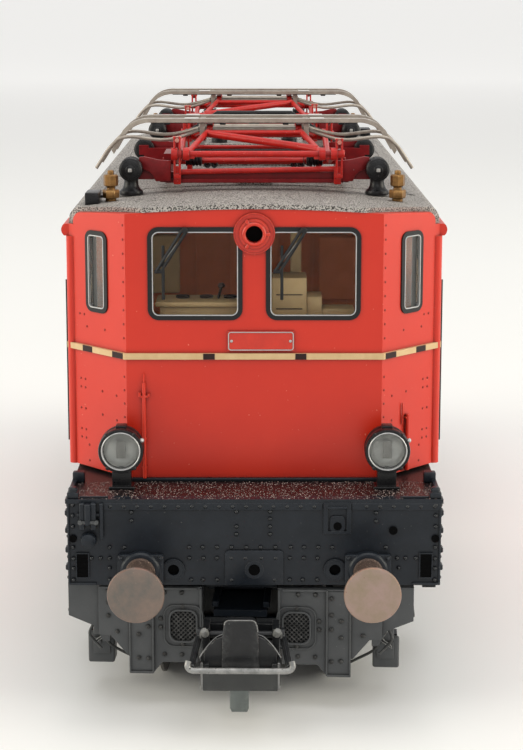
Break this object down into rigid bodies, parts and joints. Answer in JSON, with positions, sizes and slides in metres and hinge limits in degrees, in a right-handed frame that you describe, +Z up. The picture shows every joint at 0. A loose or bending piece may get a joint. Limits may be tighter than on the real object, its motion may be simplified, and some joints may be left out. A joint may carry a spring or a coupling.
{
  "type": "scale model of a four-axle electric locomotive",
  "caption": "Model electric locomotive with a red box body, grey roof, open end platforms, round lamps on stands, spoked wheels, loop couplers and red folding pantographs.",
  "frame": {"origin": "middle of the model on the plane that the wheel flanges stand on", "axes": "+Y from the front end to the rear end, +X to the right seen from in front of the front end, +Z up"},
  "size_m": [0.0356, 0.1206, 0.0512],
  "materials": {
    "body_red": "satin vermilion lacquer with grime in the seams",
    "roof_grey": "matt light grey with fine speckle",
    "frame_black": "matt bluish black",
    "block_metal": "dull cast metal",
    "guard_grey": "weathered grey",
    "clear": "clear glazing",
    "seal_black": "black window seals",
    "cab_brown": "warm brown cab fittings",
    "cream": "cream line",
    "plate_metal": "bare plate",
    "fitting_black": "black fittings",
    "buffer_steel": "worn brownish steel",
    "brass": "bright turned brass",
    "panto_red": "bright red lacquer",
    "bow_metal": "grey-beige metal strips",
    "coupler_black": "blackened with worn edges",
    "wheel_steel": "dark turned steel, bright treads"
  },
  "bodies": {
    "body": {"body_shell": "body_red", "roof": "roof_grey", "main_frame": "frame_black", "apron_front": "frame_black", "apron_rear": "frame_black", "drive_block": "block_metal", "end_glass": "clear", "side_glass": "clear", "window_frames": "seal_black", "wipers": "seal_black", "cab_interiors": "cab_brown", "waist_rail": "cream", "number_plates": "plate_metal", "handrails": "fitting_black", "door_steps": "fitting_black", "platform_lamps": "fitting_black", "top_lamps": "body_red", "lamp_lenses": "clear", "buffers": "buffer_steel", "whistles": "brass", "roof_box": "roof_grey", "roof_busbar": "fitting_black", "pantograph_insulators": "fitting_black", "pantograph_base_front": "panto_red", "pantograph_base_rear": "panto_red"},
    "bogie_front": {"bogie_block_front": "block_metal", "bogie_frame_front": "frame_black", "rail_guard_front": "guard_grey"},
    "coupler_front": {"coupler_head_front": "coupler_black"},
    "loop_front": {"coupler_loop_front": "coupler_black"},
    "wheels_1": {"wheelset_1": "wheel_steel"},
    "wheels_2": {"wheelset_2": "wheel_steel"},
    "lower_arm_a_front": {"lower_arm_a_front": "panto_red"},
    "upper_arm_a_front": {"upper_arm_a_front": "panto_red"},
    "pan_head_front": {"pan_head_front": "bow_metal"},
    "lower_arm_b_front": {"lower_arm_b_front": "panto_red"},
    "upper_arm_b_front": {"upper_arm_b_front": "panto_red"},
    "bogie_rear": {"bogie_block_rear": "block_metal", "bogie_frame_rear": "frame_black", "rail_guard_rear": "guard_grey"},
    "coupler_rear": {"coupler_head_rear": "coupler_black"},
    "loop_rear": {"coupler_loop_rear": "coupler_black"},
    "wheels_4": {"wheelset_4": "wheel_steel"},
    "wheels_3": {"wheelset_3": "wheel_steel"},
    "lower_arm_a_rear": {"lower_arm_a_rear": "panto_red"},
    "upper_arm_a_rear": {"upper_arm_a_rear": "panto_red"},
    "pan_head_rear": {"pan_head_rear": "bow_metal"},
    "lower_arm_b_rear": {"lower_arm_b_rear": "panto_red"},
    "upper_arm_b_rear": {"upper_arm_b_rear": "panto_red"}
  },
  "joints": [
    {"name": "bogie_swivel_front", "type": "hinge", "parent": "body", "child": "bogie_front", "pos_m": [0, -0.02745, 0.018], "axis": [0, 0, 1], "range_deg": [-4, 10]},
    {"name": "coupler_swing_front", "type": "hinge", "parent": "bogie_front", "child": "coupler_front", "pos_m": [-0.00105, -0.04742, 0.00745], "axis": [0, 0, 1], "range_deg": [-12, 12]},
    {"name": "loop_lift_front", "type": "hinge", "parent": "coupler_front", "child": "loop_front", "pos_m": [-0.00114, -0.05522, 0.00815], "axis": [-0.9999, 0.0122, 0], "range_deg": [0, 18]},
    {"name": "axle_1", "type": "hinge", "parent": "bogie_front", "child": "wheels_1", "pos_m": [-0.00076, -0.04193, 0.00855], "axis": [0.9986, -0.0523, 0], "continuous": true},
    {"name": "axle_2", "type": "hinge", "parent": "bogie_front", "child": "wheels_2", "pos_m": [0.00076, -0.01297, 0.00855], "axis": [0.9986, -0.0523, 0], "continuous": true},
    {"name": "panto_raise_front", "type": "hinge", "parent": "body", "child": "lower_arm_a_front", "pos_m": [0, -0.02615, 0.04692], "axis": [-1, 0, 0], "range_deg": [0, 50]},
    {"name": "knee_a_front", "type": "hinge", "parent": "lower_arm_a_front", "child": "upper_arm_a_front", "pos_m": [0, -0.03603, 0.04849], "axis": [1, 0, 0], "range_deg": [0, 100]},
    {"name": "head_tilt_front", "type": "hinge", "parent": "upper_arm_a_front", "child": "pan_head_front", "pos_m": [0, -0.02615, 0.05005], "axis": [-1, 0, 0], "range_deg": [0, 50]},
    {"name": "shaft_b_front", "type": "hinge", "parent": "body", "child": "lower_arm_b_front", "pos_m": [0, -0.02255, 0.04692], "axis": [1, 0, 0], "range_deg": [0, 50]},
    {"name": "knee_b_front", "type": "hinge", "parent": "lower_arm_b_front", "child": "upper_arm_b_front", "pos_m": [0, -0.01267, 0.04849], "axis": [-1, 0, 0], "range_deg": [0, 100]},
    {"name": "bogie_swivel_rear", "type": "hinge", "parent": "body", "child": "bogie_rear", "pos_m": [0, 0.02745, 0.018], "axis": [0, 0, 1], "range_deg": [-4, 10]},
    {"name": "coupler_swing_rear", "type": "hinge", "parent": "bogie_rear", "child": "coupler_rear", "pos_m": [0.00105, 0.04742, 0.00745], "axis": [0, 0, 1], "range_deg": [-12, 12]},
    {"name": "loop_lift_rear", "type": "hinge", "parent": "coupler_rear", "child": "loop_rear", "pos_m": [0.00114, 0.05522, 0.00815], "axis": [0.9999, -0.0122, 0], "range_deg": [0, 18]},
    {"name": "axle_4", "type": "hinge", "parent": "bogie_rear", "child": "wheels_4", "pos_m": [0.00076, 0.04193, 0.00855], "axis": [-0.9986, 0.0523, 0], "continuous": true},
    {"name": "axle_3", "type": "hinge", "parent": "bogie_rear", "child": "wheels_3", "pos_m": [-0.00076, 0.01297, 0.00855], "axis": [-0.9986, 0.0523, 0], "continuous": true},
    {"name": "panto_raise_rear", "type": "hinge", "parent": "body", "child": "lower_arm_a_rear", "pos_m": [0, 0.02615, 0.04692], "axis": [1, 0, 0], "range_deg": [0, 50]},
    {"name": "knee_a_rear", "type": "hinge", "parent": "lower_arm_a_rear", "child": "upper_arm_a_rear", "pos_m": [0, 0.03603, 0.04849], "axis": [-1, 0, 0], "range_deg": [0, 100]},
    {"name": "head_tilt_rear", "type": "hinge", "parent": "upper_arm_a_rear", "child": "pan_head_rear", "pos_m": [0, 0.02615, 0.05005], "axis": [1, 0, 0], "range_deg": [0, 50]},
    {"name": "shaft_b_rear", "type": "hinge", "parent": "body", "child": "lower_arm_b_rear", "pos_m": [0, 0.02255, 0.04692], "axis": [-1, 0, 0], "range_deg": [0, 50]},
    {"name": "knee_b_rear", "type": "hinge", "parent": "lower_arm_b_rear", "child": "upper_arm_b_rear", "pos_m": [0, 0.01267, 0.04849], "axis": [1, 0, 0], "range_deg": [0, 100]}
  ],
  "couplings": [
    {"joint": "knee_a_front", "follows": "panto_raise_front", "ratio": 2},
    {"joint": "head_tilt_front", "follows": "panto_raise_front", "ratio": 1},
    {"joint": "shaft_b_front", "follows": "panto_raise_front", "ratio": 1},
    {"joint": "knee_b_front", "follows": "panto_raise_front", "ratio": 2},
    {"joint": "knee_a_rear", "follows": "panto_raise_rear", "ratio": 2},
    {"joint": "head_tilt_rear", "follows": "panto_raise_rear", "ratio": 1},
    {"joint": "shaft_b_rear", "follows": "panto_raise_rear", "ratio": 1},
    {"joint": "knee_b_rear", "follows": "panto_raise_rear", "ratio": 2}
  ]
}
